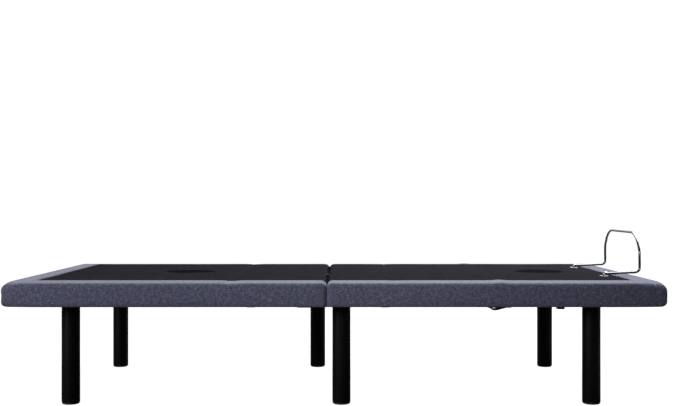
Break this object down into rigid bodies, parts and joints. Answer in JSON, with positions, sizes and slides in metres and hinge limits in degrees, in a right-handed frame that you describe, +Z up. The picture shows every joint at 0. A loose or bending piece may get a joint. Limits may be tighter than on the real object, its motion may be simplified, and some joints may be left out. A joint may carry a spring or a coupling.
{
  "type": "adjustable bed base",
  "caption": "Upholstered twin extra-long adjustable bed base that folds in the middle: lifting head, thigh and calf panels on a steel frame with round legs and a mattress retainer bar.",
  "frame": {"origin": "floor level, at the centre of the bed's length and width", "axes": "+X along the bed towards the foot end, +Y across it, +Z up"},
  "size_m": [2.02, 0.965, 0.5363],
  "materials": {
    "border_fabric": "matte",
    "deck_fabric": "matte",
    "plywood": "matte",
    "frame_steel": "satin",
    "leg_black": "satin",
    "glide_plastic": "matte",
    "black_plastic": "matte",
    "roller_plastic": "satin",
    "rod_steel": "satin",
    "chrome": "polished"
  },
  "bodies": {
    "head_half": {"head_frame": "frame_steel", "head_seat_board": "plywood", "head_seat_pad": "deck_fabric", "head_seat_border_near": "border_fabric", "head_seat_border_far": "border_fabric", "head_leg_near": "leg_black", "head_leg_far": "leg_black", "head_middle_leg_far": "leg_black", "head_glide_near": "glide_plastic", "head_glide_far": "glide_plastic", "head_middle_glide_far": "glide_plastic", "head_actuator_body": "black_plastic", "head_actuator_motor": "black_plastic", "power_supply": "black_plastic", "fold_pin_near": "rod_steel", "fold_pin_far": "rod_steel"},
    "head_section": {"head_subframe": "frame_steel", "head_board": "plywood", "head_pad": "deck_fabric", "head_border": "border_fabric", "head_massage_housing": "black_plastic"},
    "head_massage_rotor": {"head_massage_weight": "rod_steel"},
    "head_arm": {"head_lift_arm": "frame_steel"},
    "head_rollers": {"head_roller_near": "roller_plastic", "head_roller_far": "roller_plastic"},
    "head_rod": {"head_actuator_rod": "rod_steel"},
    "foot_half": {"foot_frame": "frame_steel", "foot_seat_board": "plywood", "foot_seat_pad": "deck_fabric", "foot_seat_border_near": "border_fabric", "foot_seat_border_far": "border_fabric", "foot_middle_leg_near": "leg_black", "foot_leg_near": "leg_black", "foot_leg_far": "leg_black", "foot_middle_glide_near": "glide_plastic", "foot_glide_near": "glide_plastic", "foot_glide_far": "glide_plastic", "foot_actuator_body": "black_plastic", "foot_actuator_motor": "black_plastic", "control_box": "black_plastic", "mains_inlet": "black_plastic"},
    "thigh_section": {"thigh_subframe": "frame_steel", "thigh_board": "plywood", "thigh_pad": "deck_fabric", "thigh_border_near": "border_fabric", "thigh_border_far": "border_fabric"},
    "calf_section": {"calf_subframe": "frame_steel", "calf_board": "plywood", "calf_pad": "deck_fabric", "calf_border": "border_fabric", "foot_massage_housing": "black_plastic", "retainer_bar": "chrome", "retainer_bracket_near": "chrome", "retainer_bracket_far": "chrome"},
    "foot_massage_rotor": {"foot_massage_weight": "rod_steel"},
    "foot_arm": {"foot_lift_arm": "frame_steel"},
    "foot_rollers": {"foot_roller_near": "roller_plastic", "foot_roller_far": "roller_plastic"},
    "foot_rod": {"foot_actuator_rod": "rod_steel"},
    "calf_stay": {"calf_stay": "frame_steel"}
  },
  "joints": [
    {"name": "head_lift", "type": "hinge", "parent": "head_half", "child": "head_section", "pos_m": [-0.317, 0, 0.373], "axis": [0, 1, 0], "range_deg": [0, 60]},
    {"name": "head_arm_lift", "type": "hinge", "parent": "head_half", "child": "head_arm", "pos_m": [-0.317, 0, 0.3277], "axis": [0, 1, 0], "range_deg": [0, 57]},
    {"name": "head_roller_spin", "type": "hinge", "parent": "head_arm", "child": "head_rollers", "pos_m": [-0.717, 0, 0.3277], "axis": [0, 1, 0], "range_deg": [0, 150]},
    {"name": "head_rod_slide", "type": "slide", "parent": "head_half", "child": "head_rod", "axis": [-1, 0, 0], "range_m": [0, 0.048]},
    {"name": "head_massage_spin", "type": "hinge", "parent": "head_section", "child": "head_massage_rotor", "pos_m": [-0.505, 0, 0.36], "axis": [0, 0, 1], "continuous": true},
    {"name": "base_fold", "type": "hinge", "parent": "head_half", "child": "foot_half", "pos_m": [-0.022, 0, 0.391], "axis": [0, 1, 0], "range_deg": [-170, 0]},
    {"name": "foot_lift", "type": "hinge", "parent": "foot_half", "child": "thigh_section", "pos_m": [0.19, 0, 0.373], "axis": [0, -1, 0], "range_deg": [0, 35]},
    {"name": "calf_bend", "type": "hinge", "parent": "thigh_section", "child": "calf_section", "pos_m": [0.51, 0, 0.356], "axis": [0, 1, 0], "range_deg": [0, 50.5]},
    {"name": "foot_arm_lift", "type": "hinge", "parent": "foot_half", "child": "foot_arm", "pos_m": [0.19, 0, 0.3277], "axis": [0, -1, 0], "range_deg": [0, 33.5]},
    {"name": "foot_roller_spin", "type": "hinge", "parent": "foot_arm", "child": "foot_rollers", "pos_m": [0.42, 0, 0.3277], "axis": [0, -1, 0], "range_deg": [0, 100]},
    {"name": "foot_rod_slide", "type": "slide", "parent": "foot_half", "child": "foot_rod", "axis": [1, 0, 0], "range_m": [0, 0.029]},
    {"name": "calf_stay_swing", "type": "hinge", "parent": "foot_half", "child": "calf_stay", "pos_m": [0.55, 0, 0.35], "axis": [0, -1, 0], "range_deg": [0, 50.5]},
    {"name": "foot_massage_spin", "type": "hinge", "parent": "calf_section", "child": "foot_massage_rotor", "pos_m": [0.715, 0, 0.36], "axis": [0, 0, 1], "continuous": true}
  ],
  "couplings": [
    {"joint": "head_arm_lift", "follows": "head_lift", "ratio": 0.946},
    {"joint": "head_roller_spin", "follows": "head_lift", "ratio": 2.4},
    {"joint": "head_rod_slide", "follows": "head_lift", "m_per_rad": 0.0454},
    {"joint": "calf_bend", "follows": "foot_lift", "ratio": 1.4286},
    {"joint": "foot_arm_lift", "follows": "foot_lift", "ratio": 0.943},
    {"joint": "foot_roller_spin", "follows": "foot_lift", "ratio": 2.8},
    {"joint": "foot_rod_slide", "follows": "foot_lift", "m_per_rad": 0.0465},
    {"joint": "calf_stay_swing", "follows": "foot_lift", "ratio": 1.4257}
  ]
}
